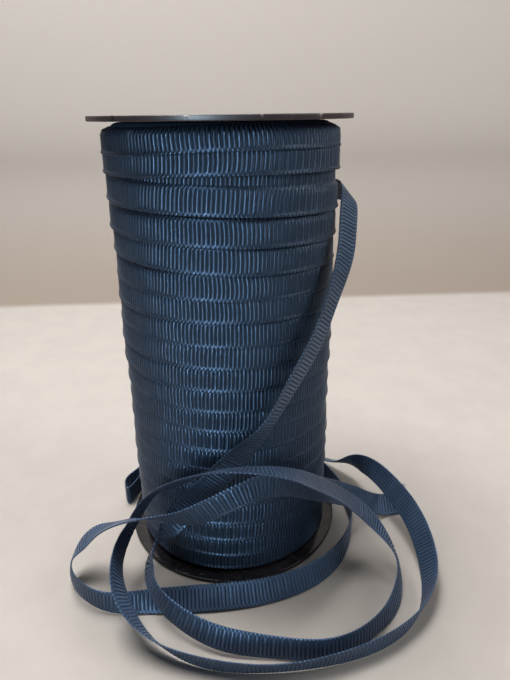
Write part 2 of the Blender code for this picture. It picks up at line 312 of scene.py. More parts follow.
def grosgrain_material(colours, name="grosgrain ribbon", painted_light=1.0):
    """Close warp threads over thick wefts: lit ribs, grooves darkened with painted shade, fine threads along
    the ribbon.

    The piece's own attributes place them: ridge is the rib's rise from 0 to 1, along counts the ribs,
    and across goes from 0 to 1 between the selvedges.
    """
    nodes = Nodes(name)
    place = nodes.add("ShaderNodeTexCoord").outputs["Object"]
    ridge = nodes.attribute("ridge")
    along = nodes.attribute("along")
    across = nodes.attribute("across")
    patches = nodes.noise(place, 190.0, 3.0, 0.6)
    specks = nodes.noise(place, 2600.0, 2.0, 0.6)
    # Painted light: the colours are scaled by the third argument, which is above 1 for the loose end.
    rib = opaque(colours.rib, 3 * (painted_light,))
    deep_rib = opaque(colours.rib, 3 * (DEEP_SHARE * painted_light,))
    shaded_groove = opaque(colours.shaded_groove, 3 * (painted_light,))
    toned_rib = nodes.mix(nodes.between(patches, 0.35, 0.68), deep_rib, rib)
    dusty_rib = nodes.mix(nodes.between(specks, 0.60, 0.78), toned_rib, DUSTY_RIB)
    # Painted shade: where the cloth sinks between the ribs it takes the much darker groove colour.
    colour = nodes.mix(nodes.between(ridge, 0.10, 0.85), shaded_groove, dusty_rib)
    threads = nodes.math("SINE", nodes.math("MULTIPLY", across, math.tau * WARP_THREADS))
    parity = nodes.math("SINE", nodes.math("MULTIPLY", along, math.pi))
    tightness = nodes.math("ADD", nodes.math("MULTIPLY", parity, 0.4), 1.0)
    weave = nodes.math("MULTIPLY", threads, tightness)
    fluff = nodes.math("ADD", nodes.math("MULTIPLY", weave, 0.5), nodes.math("MULTIPLY", specks, 0.9))
    # A rib's crest is smooth and catches the light, and its flanks and the grooves are matt.
    crest = nodes.math("MULTIPLY", nodes.between(ridge, 0.28, 0.72), 0.60)
    matt = nodes.math("SUBTRACT", 0.82, crest)
    rough = nodes.math("ADD", nodes.math("MULTIPLY", specks, 0.16), matt)
    return nodes.finish(
        {
            "Base Color": colour,
            "Roughness": rough,
            "Normal": nodes.bump(fluff, 0.35, 0.00005),
        },
        Specular_IOR_Level=0.55,
        Specular_Tint=(0.45, 0.68, 1.0, 1.0),
        Sheen_Weight=0.06,
        Sheen_Roughness=0.45,
        Sheen_Tint=(0.60, 0.70, 1.0, 1.0),
    )


def painted_lighter_loose_material(colours):
    """The same cloth where it hangs free, with its colours painted paler: painted light on the loose end."""
    return grosgrain_material(colours, "loose grosgrain ribbon painted lighter", LOOSE_PAINTED_LIGHT)


SCRATCH_GREY = (0.11, 0.10, 0.10, 1.0)
WORN_EDGE = (0.42, 0.38, 0.35, 1.0)
# The heights between which the plastic goes from the foot flange's colour to the top flange's painted light.
PAINTED_LIGHT_HEIGHTS = (0.05, 0.06)


def plastic_material(colours):
    """Satin moulded plastic with faint flow marks, fine scratches and paler worn edges.

    The top flange is duller than the foot flange, and its colour is painted lighter and rosier as painted
    light from above. The attribute worn is 1 on a worn edge.
    """
    nodes = Nodes("spool plastic")
    place = nodes.add("ShaderNodeTexCoord").outputs["Object"]
    flow = nodes.noise(place, 90.0, 4.0, 0.55)
    grain = nodes.noise(place, 3200.0, 2.0, 0.6)
    stretch = nodes.add("ShaderNodeMapping", {"Vector": place, "Scale": (1.0, 9.0, 1.0)}).outputs[0]
    scratches = nodes.between(nodes.noise(stretch, 420.0, 1.0, 0.4), 0.66, 0.70)
    chipped = nodes.between(nodes.noise(place, 900.0, 3.0, 0.6), 0.38, 0.60)
    broken = nodes.math("MULTIPLY", nodes.attribute("worn"), chipped)
    height = nodes.add("ShaderNodeSeparateXYZ", {"Vector": place}).outputs["Z"]
    # Painted light: on the top flange the plastic is painted several times lighter and rosier than on the
    # foot flange.
    high = nodes.between(height, *PAINTED_LIGHT_HEIGHTS)
    plain = opaque(colours.plastic)
    warm = opaque(colours.plastic, (1.7, 1.45, 1.5))
    painted_lit_top = opaque(colours.plastic, (4.6, 3.3, 3.0))
    body = nodes.mix(high, plain, painted_lit_top)
    toned = nodes.mix(nodes.between(flow, 0.35, 0.70), body, nodes.mix(high, warm, painted_lit_top))
    scratched = nodes.mix(nodes.math("MULTIPLY", scratches, 0.35), toned, SCRATCH_GREY)
    colour = nodes.mix(broken, scratched, WORN_EDGE)
    rough = nodes.math("ADD", nodes.math("MULTIPLY", flow, 0.30), nodes.math("MULTIPLY", high, 0.30))
    return nodes.finish(
        {
            "Base Color": colour,
            "Roughness": rough,
            "Normal": nodes.bump(grain, 0.18, 0.00004),
        },
        Specular_IOR_Level=0.36,
    )


# Where the pale floor ends, at the back, and the paper of the backdrop begins, with painted shade at its
# foot.
FLOOR_END = (0.201, 0.211)
# The heights between which the backdrop's paper goes from painted shade at its foot to its own colour.
SHADED_FOOT_HEIGHTS = (-0.02, 0.13)


def table_material(colours):
    """Pale matt floor with a soft mottle, and the paper of the backdrop behind it, with painted shade at its
    foot.
    """
    nodes = Nodes("pale floor")
    place = nodes.add("ShaderNodeTexCoord").outputs["Object"]
    mottle = nodes.noise(place, 60.0, 6.0, 0.65)
    grain = nodes.noise(place, 1500.0, 2.0, 0.6)
    dark = opaque(colours.table, (0.95, 0.95, 0.95))
    toned = nodes.mix(nodes.between(mottle, 0.35, 0.65), dark, opaque(colours.table))
    parts = nodes.add("ShaderNodeSeparateXYZ", {"Vector": place})
    # Painted shade: the backdrop's paper is painted darker and browner towards the floor.
    foot = opaque(colours.backdrop, (0.42, 0.37, 0.33))
    paper = nodes.mix(nodes.between(parts.outputs["Z"], *SHADED_FOOT_HEIGHTS), foot, opaque(colours.backdrop))
    colour = nodes.mix(nodes.between(parts.outputs["Y"], *FLOOR_END), toned, paper)
    return nodes.finish(
        {"Base Color": colour, "Normal": nodes.bump(grain, 0.10, 0.0001)},
        Roughness=0.85,
        Specular_IOR_Level=0.15,
    )


def shared_material(name, maker, context):
    """The named material, made by its maker the first time that it is asked for."""
    return bpy.data.materials.get(name) or maker(context.scene.ribbon_spool.colours)


# ------------------------------
# Mesh helpers
# ------------------------------


def deselect_all():
    for obj in bpy.context.selected_objects:
        obj.select_set(False)


def finish_piece(obj, material, smooth_angle=None, stands_for=()):
    """Gives a piece its material, puts its place in its mesh, and joins it to the spool."""
    deselect_all()
    obj.select_set(True)
    bpy.context.view_layer.objects.active = obj
    bpy.ops.object.transform_apply(location=True, rotation=True, scale=True)
    obj.data.materials.clear()
    obj.data.materials.append(material)
    if smooth_angle is None:
        bpy.ops.object.shade_smooth()
    else:
        bpy.ops.object.shade_smooth_by_angle(angle=smooth_angle)
    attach(obj, "root")
    if stands_for:
        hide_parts(*stands_for)
    return obj


def mesh_object(name, points, faces, attributes=()):
    """A mesh object from arrays, with float attributes that its material reads."""
    mesh = bpy.data.meshes.new(name)
    mesh.from_pydata(points.tolist(), [], faces)
    for key, values in dict(attributes).items():
        layer = mesh.attributes.new(key, "FLOAT", "POINT")
        layer.data.foreach_set("value", np.ascontiguousarray(values, np.float32).ravel())
    mesh.update()
    obj = bpy.data.objects.new(name, mesh)
    bpy.context.collection.objects.link(obj)
    return obj


def ring_skin(rings):
    """Points and faces of a closed skin over rings of equal size, with both ends capped."""
    count, size = rings.shape[:2]
    index = np.arange(count * size).reshape(count, size)
    after = np.roll(index, -1, axis=1)
    quads = np.stack((index[:-1], index[1:], after[1:], after[:-1]), axis=-1).reshape(-1, 4)
    faces = quads.tolist() + [index[0].tolist(), index[-1][::-1].tolist()]
    return rings.reshape(-1, 3), faces


# ------------------------------
# The ribbon's section and rib pattern
# ------------------------------

# Places across the ribbon, -1 at the lower selvedge and 1 at the upper one.
ACROSS = np.array((-1.0, -0.93, -0.81, -0.66, -0.23, 0.23, 0.66, 0.81, 0.93, 1.0))
# How full the cloth is at those places: the selvedges are rounded and thinner than the ribs.
FULLNESS = np.array((0.45, 0.95, 0.80, 1.0, 1.0, 1.0, 1.0, 0.80, 0.95, 0.45))
# Share of the selvedge's own pattern, whose small beads lie half a pitch away from the ribs.
SELVEDGE = np.array((1.0, 1.0, 0.6, 0.0, 0.0, 0.0, 0.0, 0.6, 1.0, 1.0))
# Steps within one rib, as shares of the pitch, with the rib's height at each.
RIB_STEPS = np.array((0.0, 0.24, 0.50, 0.76))
RIB_RISE = np.array((0.0, 0.64, 1.0, 0.64))
# The rise at which the selvedge is neither out nor in.
SCALLOP_REST = 0.4


def rib_stations(length, pitch):
    """Distances along a ribbon, the cloth's rise at each place across, and the ribs counted so far."""
    ribs = int(length / pitch)
    chance = np.random.default_rng(ribs)
    fat = chance.uniform(0.90, 1.06, (ribs, 1))
    early = chance.uniform(-0.05, 0.05, (ribs, 1)) * (RIB_STEPS > 0.0)
    places = np.append((np.arange(ribs)[:, None] + RIB_STEPS + early).ravel(), ribs)
    rise = np.append((fat * RIB_RISE).ravel(), 0.0)
    beads = 0.05 + 0.95 * np.append((fat * np.roll(RIB_RISE, 2)).ravel(), 0.0)
    rise = rise[:, None] * (1.0 - SELVEDGE) + beads[:, None] * SELVEDGE
    return places * length / ribs, rise, places


def ribbon_skin(name, rings, rise, ribs, order):
    """A closed skin over the rings. Order gives the place across of each point of a ring."""
    points, faces = ring_skin(rings)
    attributes = {
        "ridge": rise[:, order],
        "along": np.repeat(ribs, rings.shape[1]),
        "across": np.tile(ACROSS[order] / 2.0 + 0.5, len(rise)),
    }
    return mesh_object(name, points, faces, attributes)


# ------------------------------
# The wound turns
# ------------------------------


def turn_tables():
    """Heights and other values as functions of the turn number, whole numbers being the front."""
    table = {name: np.array(column) for name, column in zip(TURN_COLUMNS, zip(*TURNS))}
    numbers = np.arange(len(TURNS), dtype=float)
    at = np.stack((numbers - SIDE_SHARE, numbers, numbers + SIDE_SHARE), axis=1).ravel()
    edge = np.stack((table["left"], table["middle"], table["right"]), axis=1).ravel()
    return numbers, table, at, edge


def steady(value, at, known):
    """Smooth reading between known places, which keeps the end values past the ends."""
    k = np.clip(np.searchsorted(at, value) - 1, 0, len(at) - 2)
    share = np.clip((value - at[k]) / (at[k + 1] - at[k]), 0.0, 1.0)
    slopes = np.gradient(known, at)
    span = at[k + 1] - at[k]
    h00 = 2 * share**3 - 3 * share**2 + 1
    h10 = share**3 - 2 * share**2 + share
    h01 = -2 * share**3 + 3 * share**2
    h11 = share**3 - share**2
    return h00 * known[k] + h10 * span * slopes[k] + h01 * known[k + 1] + h11 * span * slopes[k + 1]


# The topmost turn bends inwards over the roll's shoulder: height, bend radius and steepest lean, in
# mm and radians.
SHOULDER_HEIGHT = 111.7
SHOULDER_BEND = 0.9
SHOULDER_LEAN = 1.02
# The lowest that a turn's lower edge lies, just over the foot flange.
LOWEST_EDGE = 1.55
# Mean radius of the turns, for lengths along them.
MEAN_RADIUS = 27.6
# From this place across, the upper edge tucks in under the turn above, and the lower edge laps out.
LAP_START = 0.55
LAP_OUT = 0.42
TUCK_IN = 0.75


def turn_surface(number, across, width, lift=0.0, level=None):
    """Radius and height, in mm, of the wound cloth's middle at a turn number and a place across."""
    numbers, table, at, edge = turn_tables()
    lower = np.maximum(steady(number, at, edge), LOWEST_EDGE) if level is None else level + 0.0 * number
    radius = steady(number, numbers, table["radius"])
    # The winder's hand isn't quite even, so the radius and the height wander slowly.
    wander = 0.07 * np.sin(9.1 * number * math.tau / 6.0 + 1.3) + 0.06 * np.sin(23.0 * number + 0.4)
    lower = lower + 0.5 * wander
    tuck = np.clip((across - LAP_START) / (1.0 - LAP_START), 0.0, 1.0)
    lap = np.clip((-across - LAP_START) / (1.0 - LAP_START), 0.0, 1.0)
    radius = radius + lift + wander + LAP_OUT * lap**1.5 - TUCK_IN * tuck**1.3
    height = lower + (across + 1.0) / 2.0 * width
    past = np.maximum(height - SHOULDER_HEIGHT, 0.0)
    bent = np.minimum(past / SHOULDER_BEND, SHOULDER_LEAN)
    flat = np.maximum(past - SHOULDER_BEND * SHOULDER_LEAN, 0.0)
    height = height - past + SHOULDER_BEND * np.sin(bent) + flat * math.cos(SHOULDER_LEAN)
    radius = radius - SHOULDER_BEND * (1.0 - np.cos(bent)) - flat * math.sin(SHOULDER_LEAN)
    return radius, height


def front_angle(number):
    """The angle round the spool at a turn number. The front is at -Y and turns run to the right."""
    return number * math.tau - math.pi / 2.0


def wound_strip(name, start, end, sizes, lift=0.0, level=None):
    """The ribbon wound from one turn number to another, with its ribs, as a closed skin."""
    width = sizes.width / MM
    around = math.tau * MEAN_RADIUS
    along, rise, ribs = rib_stations((end - start) * around, sizes.rib_pitch / MM)
    numbers, table, _, _ = turn_tables()
    turn = start + along / around
    lean = np.interp(turn, numbers, table["lean"])
    bow = np.interp(turn, numbers, table["bow"])
    drift = 0.12 * np.sin(turn * 31.0) + 0.10 * np.sin(turn * 13.0 + 2.0)
    across = ACROSS[None, :]
    slide = (lean + drift)[:, None] * across * 0.5 + bow[:, None] * (across**2 - 0.4)
    number = turn[:, None] + slide / around
    scallop = 2.0 * sizes.scallop / sizes.width * (rise - SCALLOP_REST) * (np.abs(across) > 0.99)
    radius, height = turn_surface(number, across * (1.0 + scallop), width, lift, level)
    angle = front_angle(number)
    thick = (sizes.groove_thickness / 2 + sizes.rib_height * rise) / MM * FULLNESS[None, :]
    back = sizes.groove_thickness / 2 / MM * FULLNESS[None, :]
    outer = np.stack(((radius + thick) * np.cos(angle), (radius + thick) * np.sin(angle), height), -1)
    inner = np.stack(((radius - back) * np.cos(angle), (radius - back) * np.sin(angle), height), -1)
    # The hidden inner face is plain, so it has only four points across.
    picked = [0, 3, 6, 9]
    rings = np.concatenate((outer, inner[:, picked][:, ::-1]), axis=1) * MM
    order = [*range(len(ACROSS)), *picked[::-1]]
    return ribbon_skin(name, rings, rise, ribs, order)


# ------------------------------
# The loose end
# ------------------------------


def unit(vectors):
    return vectors / np.linalg.norm(vectors, axis=-1, keepdims=True)


def smooth_through(stations, values, samples):
    """Natural cubic spline through the values at the stations, read at the samples."""
    steps = np.diff(stations)
    slopes = np.diff(values, axis=0) / steps[:, None]
    size = len(stations)
    system = np.eye(size)
    right = np.zeros((size, values.shape[1]))
    for i in range(1, size - 1):
        system[i, i - 1 : i + 2] = steps[i - 1], 2.0 * (steps[i - 1] + steps[i]), steps[i]
        right[i] = 6.0 * (slopes[i] - slopes[i - 1])
    bends = np.linalg.solve(system, right)
    k = np.clip(np.searchsorted(stations, samples, side="right") - 1, 0, size - 2)
    step = steps[k][:, None]
    after = (samples - stations[k])[:, None]
    before = step - after
    return (
        (bends[k] * before**3 + bends[k + 1] * after**3) / (6.0 * step)
        + (values[k] / step - bends[k] * step / 6.0) * before
        + (values[k + 1] / step - bends[k + 1] * step / 6.0) * after
    )


# Turn numbers of the points on the roll that lead up to the place where the ribbon leaves it, and how
# far over the turn below they lie, in mm.
LEAD_TURNS = (2.398, 2.383)
LEAD_LIFT = 0.30
# The route's row that the snag is nearest to.
SNAG_ROW = 41


class LooseLine:
    """The loose end's middle line, and the frame of the ribbon at any distance along it."""

    def __init__(self, width):
        rows = [self.lead_row(number, width) for number in LEAD_TURNS]
        route = np.array(rows + list(LOOSE_ROUTE))
        self.points, self.leans = route[:, :3], unit(route[:, 3:])
        spans = np.linalg.norm(np.diff(self.points, axis=0), axis=1)
        self.stations = np.concatenate(([0.0], np.cumsum(spans)))
        self.fine = np.linspace(0.0, self.stations[-1], 6000)
        line = smooth_through(self.stations, self.points, self.fine)
        self.travel = np.concatenate(([0.0], np.cumsum(np.linalg.norm(np.diff(line, axis=0), axis=1))))
        self.length = self.travel[-1]

    @staticmethod
    def lead_row(number, width):
        radius, height = turn_surface(np.array([number]), np.array([0.0]), width / MM, LEAD_LIFT)
        angle = front_angle(number)
        x, y = radius[0] * math.cos(angle) * MM, radius[0] * math.sin(angle) * MM
        return (x, y, height[0] * MM, 0.0, 0.0, 1.0)

    def frames(self, distance):
        """Middle points, directions across and face normals at distances along the ribbon."""
        at = np.interp(distance, self.travel, self.fine)
        centres = smooth_through(self.stations, self.points, at)
        ahead = smooth_through(self.stations, self.points, at + 1e-5)
        along = unit(ahead - centres)
        across = smooth_through(self.stations, self.leans, at)
        across = unit(across - along * (along * across).sum(axis=1, keepdims=True))
        return centres, across, np.cross(along, across)


def loose_strip(name, line, sizes):
    """The loose end as a thin ribbed ribbon, ribs on both faces, with scalloped selvedges."""
    along, rise, ribs = rib_stations(line.length, sizes.rib_pitch)
    centres, side, face = line.frames(along)
    reach = ACROSS[None, :] * (sizes.width / 2.0) * np.ones((len(along), 1))
    reach[:, 0] -= sizes.scallop * (rise[:, 0] - SCALLOP_REST)
    reach[:, -1] += sizes.scallop * (rise[:, -1] - SCALLOP_REST)
    half = (sizes.groove_thickness + sizes.rib_height * rise) / 2.0 * FULLNESS[None, :]
    middle = centres[:, None, :] + side[:, None, :] * reach[..., None]
    front = middle + face[:, None, :] * half[..., None]
    back = middle - face[:, None, :] * half[..., None]
    rings = np.concatenate((back, front[:, ::-1]), axis=1)
    order = [*range(len(ACROSS)), *reversed(range(len(ACROSS)))]
    return ribbon_skin(name, rings, rise, ribs, order)


def thread_tubes(name, threads, radius):
    """Thin tapering tubes, one for each thread's list of points, in one mesh."""
    sides, tip_share = 5, 0.35
    aside = np.array((0.31, 0.17, 0.93))
    all_points, all_faces = [], []
    for thread in threads:
        path = np.array(thread)
        along = unit(np.gradient(path, axis=0))
        across = unit(np.cross(along, aside))
        third = np.cross(along, across)
        taper = np.linspace(1.0, tip_share, len(path)) * radius
        turn = (np.arange(sides) * math.tau / sides)[None, :, None]
        circle = np.cos(turn) * across[:, None, :] + np.sin(turn) * third[:, None, :]
        points, faces = ring_skin(path[:, None, :] + circle * taper[:, None, None])
        base = sum(len(p) for p in all_points)
        all_points.append(points)
        all_faces += [[base + i for i in face] for face in faces]
    points = np.concatenate(all_points)
    ones = np.ones(len(points))
    return mesh_object(name, points, all_faces, {"ridge": ones, "along": 0.5 * ones, "across": 0.5 * ones})


# ------------------------------
# Operators
# ------------------------------


def select_faces(obj, wanted):
    """In edit mode, selects only the faces for which wanted(centre, normal) holds."""
    bpy.ops.mesh.select_all(action="DESELECT")
    bpy.ops.object.mode_set(mode="OBJECT")
    for polygon in obj.data.polygons:
        polygon.select = wanted(polygon.center, polygon.normal)
    bpy.ops.object.mode_set(mode="EDIT")


def select_edges(obj, wanted):
    """In edit mode, selects only the edges for which wanted(first point, second point) holds."""
    bpy.ops.mesh.select_mode(type="EDGE")
    bpy.ops.mesh.select_all(action="DESELECT")
    bpy.ops.object.mode_set(mode="OBJECT")
    points = obj.data.vertices
    for edge in obj.data.edges:
        first, second = (points[i].co for i in edge.vertices)
        edge.select = wanted(first, second)
    bpy.ops.object.mode_set(mode="EDIT")


def start_disc(name, radius, first, second, vertices):
    """A cylinder round the axis from one height to another, left in edit mode to be shaped."""
    deselect_all()
    bpy.ops.mesh.primitive_cylinder_add(
        vertices=vertices,
        radius=radius,
        depth=abs(second - first),
        location=(0.0, 0.0, (first + second) / 2.0),
    )
    obj = bpy.context.active_object
    obj.name = obj.data.name = name
    bpy.ops.object.transform_apply(location=True, rotation=True, scale=True)
    bpy.ops.object.mode_set(mode="EDIT")
    return obj


def round_edges(offset, segments):
    """In edit mode, rounds the selected edges."""
    bpy.ops.mesh.bevel(
        offset=offset, offset_type="OFFSET", segments=segments, profile=0.5, affect="EDGES"
    )


def face_outwards():
    """In edit mode, turns every face outwards, then leaves edit mode."""
    bpy.ops.mesh.select_all(action="SELECT")
    bpy.ops.mesh.normals_make_consistent(inside=False)
    bpy.ops.object.mode_set(mode="OBJECT")


class SPOOL_OT_flanges(bpy.types.Operator):
    """Make the two moulded flanges with their sleeves, the catch slit and the worn rim"""

    bl_idname = "ribbon_spool.flanges"
    bl_label = "Spool Flanges"

    THICKNESS = 0.00115
    SLEEVE_RADIUS = 0.0120
    BORE_RADIUS = 0.0105
    # The shallow step in the outer face lies between a land along the rim and the hub.
    RIM_LAND = 0.0014
    HUB_RADIUS = 0.0145
    SLIT_DIRECTION = math.radians(226.3)
    SLIT_DEPTH = 0.0030
    # Small dents in the top rim: direction round the spool in degrees, and size in mm.
    DENTS = ((257.8, 1.25), (284.3, 0.22), (309.5, 0.22), (41.0, 0.6), (133.0, 0.8))
    # Each dent's reach inwards and down, and how far its middle lies outside the rim and over it.
    DENT_REACH, DENT_DROP = 0.00055, 0.00042
    DENT_OUT, DENT_OVER = 0.00025, 0.00012
    # Only points this near the rim, as a share of the radius, and this near the top can be worn.
    WORN_FROM = 0.975
    WORN_DEPTH = 0.0007

    def execute(self, context):
        settings = context.scene.ribbon_spool
        plastic = shared_material("spool plastic", plastic_material, context)
        for name, node, faces_up in (
            ("foot_flange", "spool_bottom_flange", False),
            ("top_flange", "spool_top_flange", True),
        ):
            flange = self.moulded_flange(name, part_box(node), faces_up, settings.spool)
            if faces_up:
                self.cut_slit_and_dents(flange, settings.spool)
            self.mark_wear(flange, faces_up)
            finish_piece(flange, plastic, math.radians(40.0), (node,))
        return {"FINISHED"}

    def moulded_flange(self, name, box, faces_up, sizes):
        """A disc shaped from a cylinder: a step in its outer face, a bore, and a sleeve inside."""
        low, high = box
        radius = (high.x - low.x) / 2.0
        thickness, bore = self.THICKNESS, self.BORE_RADIUS
        land = radius - self.RIM_LAND
        outer = high.z if faces_up else low.z
        inward = -1.0 if faces_up else 1.0
        inner = outer + inward * thickness
        sleeve = Vector((0.0, 0.0, inward * (high.z - low.z - thickness)))
        step = Vector((0.0, 0.0, inward * sizes.step_depth))
        obj = start_disc(name, radius, outer, inner, 192)
        near = 1e-5
        select_faces(obj, lambda c, n: abs(c.z - inner) < near and abs(n.z) > 0.9)
        bpy.ops.mesh.inset(thickness=radius - self.SLEEVE_RADIUS)
        bpy.ops.mesh.extrude_region_move(TRANSFORM_OT_translate={"value": sleeve})
        bpy.ops.mesh.inset(thickness=self.SLEEVE_RADIUS - bore)
        select_faces(obj, lambda c, n: abs(c.z - outer) < near and abs(n.z) > 0.9)
        bpy.ops.mesh.inset(thickness=self.RIM_LAND)
        bpy.ops.mesh.extrude_region_move(TRANSFORM_OT_translate={"value": step})
        bpy.ops.mesh.inset(thickness=land - self.HUB_RADIUS)
        bpy.ops.mesh.extrude_region_move(TRANSFORM_OT_translate={"value": -step})
        bpy.ops.mesh.inset(thickness=self.HUB_RADIUS - bore)
        tip = inner + sleeve.z
        select_faces(
            obj,
            lambda c, n: abs(n.z) > 0.9
            and math.hypot(c.x, c.y) < 1e-4
            and (abs(c.z - outer) < near or abs(c.z - tip) < near),
        )
        bpy.ops.mesh.bridge_edge_loops()
        # The rim is rounded, and the smaller edges are only broken.
        for rings, share, segments in (((radius,), 1.0, 4), ((bore, self.HUB_RADIUS, land), 0.3, 2)):
            select_edges(obj, lambda a, b: any(self.on_ring(a, b, ring) for ring in rings))
            round_edges(share * sizes.rim_rounding, segments)
        face_outwards()
        return obj

    @staticmethod
    def on_ring(first, second, radius):
        """Whether an edge lies level on a circle of this radius round the axis."""
        level = abs(first.z - second.z) < 1e-6
        return level and all(abs(math.hypot(p.x, p.y) - radius) < 2e-5 for p in (first, second))

    @staticmethod
    def rim_spot(angle, out, over):
        """The place at this angle, so far outside the top flange's rim and so far over its top."""
        reach = TOP_FLANGE_HIGH.x + out
        return Vector((reach * math.cos(angle), reach * math.sin(angle), TOP_FLANGE_HIGH.z + over))

    def cut_slit_and_dents(self, flange, sizes):
        angle = self.SLIT_DIRECTION
        deselect_all()
        bpy.ops.mesh.primitive_cube_add(
            size=1.0, location=self.rim_spot(angle, 0.0, -0.0006), rotation=(0.0, 0.0, angle)
        )
        cutter = bpy.context.active_object
        cutter.scale = (2.0 * self.SLIT_DEPTH, sizes.slit_width, 0.0040)
        self.subtract(flange, cutter)
        for degrees, size in self.DENTS:
            angle = math.radians(degrees)
            spot = self.rim_spot(angle, self.DENT_OUT, self.DENT_OVER)
            deselect_all()
            bpy.ops.mesh.primitive_ico_sphere_add(subdivisions=3, radius=1.0, location=spot)
            dent = bpy.context.active_object
            dent.rotation_euler = (0.0, 0.0, angle)
            dent.scale = (self.DENT_REACH, size * MM, self.DENT_DROP)
            self.subtract(flange, dent)

    @staticmethod
    def subtract(obj, cutter):
        deselect_all()
        obj.select_set(True)
        bpy.context.view_layer.objects.active = obj
        cut = obj.modifiers.new("cut", "BOOLEAN")
        cut.operation = "DIFFERENCE"
        cut.object = cutter
        bpy.ops.object.modifier_apply(modifier=cut.name)
        bpy.data.objects.remove(cutter, do_unlink=True)

    def mark_wear(self, flange, faces_up):
        """Marks the rim's points near the dents, where the plastic has gone pale."""
        points = np.array([v.co for v in flange.data.vertices])
        angle = np.degrees(np.arctan2(points[:, 1], points[:, 0])) % 360.0
        reach = np.hypot(points[:, 0], points[:, 1]) / TOP_FLANGE_HIGH.x
        worn = np.zeros(len(points))
        if faces_up:
            near_top = points[:, 2] > TOP_FLANGE_HIGH.z - self.WORN_DEPTH
            for degrees, size in self.DENTS:
                off = np.abs((angle - degrees + 180.0) % 360.0 - 180.0) / (size * 2.2)
                worn = np.maximum(worn, np.clip(1.3 - off, 0.0, 1.0) * near_top)
        layer = flange.data.attributes.new("worn", "FLOAT", "POINT")
        layer.data.foreach_set("value", (worn * (reach > self.WORN_FROM)).astype(np.float32))


class SPOOL_OT_wound_ribbon(bpy.types.Operator):
    """Make the roll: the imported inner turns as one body, and every turn that shows as ribbed ribbon"""

    bl_idname = "ribbon_spool.wound_ribbon"
    bl_label = "Wound Ribbon"

    # Piece name, first turn number and last.
    STRIPS = (
        ("wound_turns_top", -0.62, 5.5),
        ("wound_turns_middle", 5.5, 12.5),
        ("wound_turns_foot", 12.5, len(TURNS) - 0.5),
    )
    BODY_RADIUS = 0.0261
    BODY_BORE = 0.0123
    BODY_ROUNDING = 0.0018

    def execute(self, context):
        sizes = context.scene.ribbon_spool.ribbon
        cloth = shared_material("grosgrain ribbon", grosgrain_material, context)
        body = self.inner_body()
        finish_piece(body, cloth, math.radians(40.0), ("wound_ribbon",))
        for name, start, end in self.STRIPS:
            strip = wound_strip(name, start, end, sizes)
            finish_piece(strip, cloth)
        finish_piece(self.under_turn(sizes), cloth)
        return {"FINISHED"}

    def inner_body(self):
        """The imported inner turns, shaped from a cylinder with the bore let through it."""
        radius = self.BODY_RADIUS
        low, high = ROLL_LOW.z, ROLL_HIGH.z
        obj = start_disc("wound_inner_turns", radius, low, high, 128)
        select_faces(obj, lambda c, n: abs(n.z) > 0.9)
        bpy.ops.mesh.inset(thickness=radius - self.BODY_BORE)
        select_faces(obj, lambda c, n: abs(n.z) > 0.9 and math.hypot(c.x, c.y) < 1e-4)
        bpy.ops.mesh.bridge_edge_loops()
        select_edges(
            obj,
            lambda a, b: abs(a.z - b.z) < 1e-6
            and a.z > high - 1e-4
            and min(math.hypot(a.x, a.y), math.hypot(b.x, b.y)) > radius - 1e-4,
        )
        round_edges(self.BODY_ROUNDING, 4)
        face_outwards()
        return obj

    @staticmethod
    def under_turn(sizes):
        """A turn of the layer beneath, which shows in the gap between the second and third turns."""
        return wound_strip("wound_under_turn", 1.5, 2.5, sizes, lift=-0.75, level=99.3)


